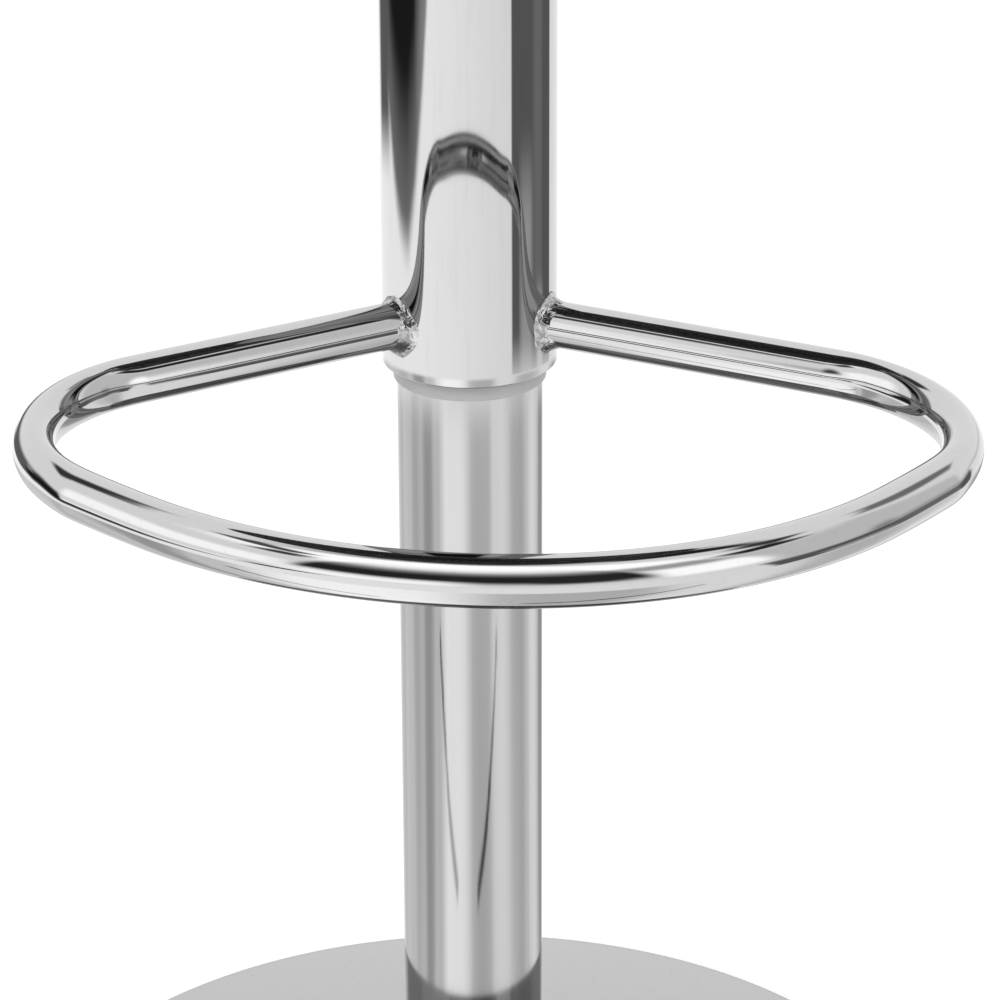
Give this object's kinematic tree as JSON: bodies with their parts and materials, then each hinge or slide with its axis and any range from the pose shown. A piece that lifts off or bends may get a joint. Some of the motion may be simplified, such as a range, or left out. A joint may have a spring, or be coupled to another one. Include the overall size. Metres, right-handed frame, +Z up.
{
  "type": "counter stool",
  "caption": "Round padded counter stool on a telescoping chrome column with a looped tube footrest, a disc base and a lift lever under the seat.",
  "frame": {"origin": "on the floor, on the axis of the column", "axes": "+Z up along the column, -Y towards the front of the footrest, +X to the side that the lift lever points to"},
  "size_m": [0.38, 0.4242, 0.8121],
  "materials": {
    "pad_rubber": "matt black floor pad",
    "dark_steel": "black paint on pressed steel",
    "base_chrome": "polished chrome on pressed steel",
    "chrome": "polished chrome",
    "satin_chrome": "chrome with a slight haze",
    "steel": "plain steel",
    "rubber": "matt black",
    "white_plastic": "natural acetal",
    "grey_plastic": "satin grey",
    "black_plastic": "satin black",
    "weld": "plated weld bead",
    "lever_chrome": "polished chrome",
    "dust_cloth": "black non-woven cloth",
    "plywood": "raw plywood",
    "foam": "open-cell foam",
    "vinyl": "black grained vinyl",
    "band_chrome": "polished ribbed trim"
  },
  "bodies": {
    "base": {"floor_pad": "pad_rubber", "ballast_plate": "dark_steel", "base_cover": "base_chrome", "base_hub": "dark_steel", "base_trim_ring": "chrome", "post": "satin_chrome", "bearing_lower_race": "steel", "post_guide_bush": "white_plastic"},
    "spindle": {"bearing_balls": "steel", "bearing_upper_race": "steel", "bump_stop": "rubber", "piston_rod": "steel", "rod_washer": "steel", "rod_clip": "dark_steel", "piston": "steel", "piston_seal": "rubber", "piston_nut": "steel"},
    "lift": {"cover_tube": "chrome", "tube_collar": "grey_plastic", "tube_cup": "black_plastic", "gas_cylinder": "dark_steel", "cylinder_gland": "steel", "rod_seal": "rubber", "footrest_tube": "chrome", "footrest_weld_right": "weld", "footrest_weld_left": "weld", "valve_body": "steel", "seat_socket": "dark_steel", "seat_pan": "dark_steel", "lever_pivot_pin": "steel", "dust_cover": "dust_cloth", "seat_board": "plywood", "seat_foam": "foam", "seat_cover": "vinyl", "seat_band": "band_chrome", "seat_nut_1": "steel", "seat_screw_1": "steel", "seat_nut_2": "steel", "seat_screw_2": "steel", "seat_nut_3": "steel", "seat_screw_3": "steel", "seat_nut_4": "steel", "seat_screw_4": "steel"},
    "lever": {"lever_rod": "lever_chrome", "lever_grip": "black_plastic"},
    "valve": {"valve_pin": "white_plastic"}
  },
  "joints": [
    {"name": "swivel", "type": "hinge", "parent": "base", "child": "spindle", "pos_m": [0, 0, 0], "axis": [0, 0, 1], "continuous": true},
    {"name": "lift_slide", "type": "slide", "parent": "spindle", "child": "lift", "axis": [0, 0, 1], "range_m": [-0.21, 0]},
    {"name": "lever_pivot", "type": "hinge", "parent": "lift", "child": "lever", "pos_m": [0.03, 0, 0.7239], "axis": [0, -1, 0], "range_deg": [0, 6], "stiffness_Nm_per_rad": 2},
    {"name": "valve_slide", "type": "slide", "parent": "lift", "child": "valve", "axis": [0, 0, -1], "range_m": [0, 0.0032]}
  ],
  "couplings": [
    {"joint": "valve_slide", "follows": "lever_pivot", "m_per_rad": 0.03}
  ]
}
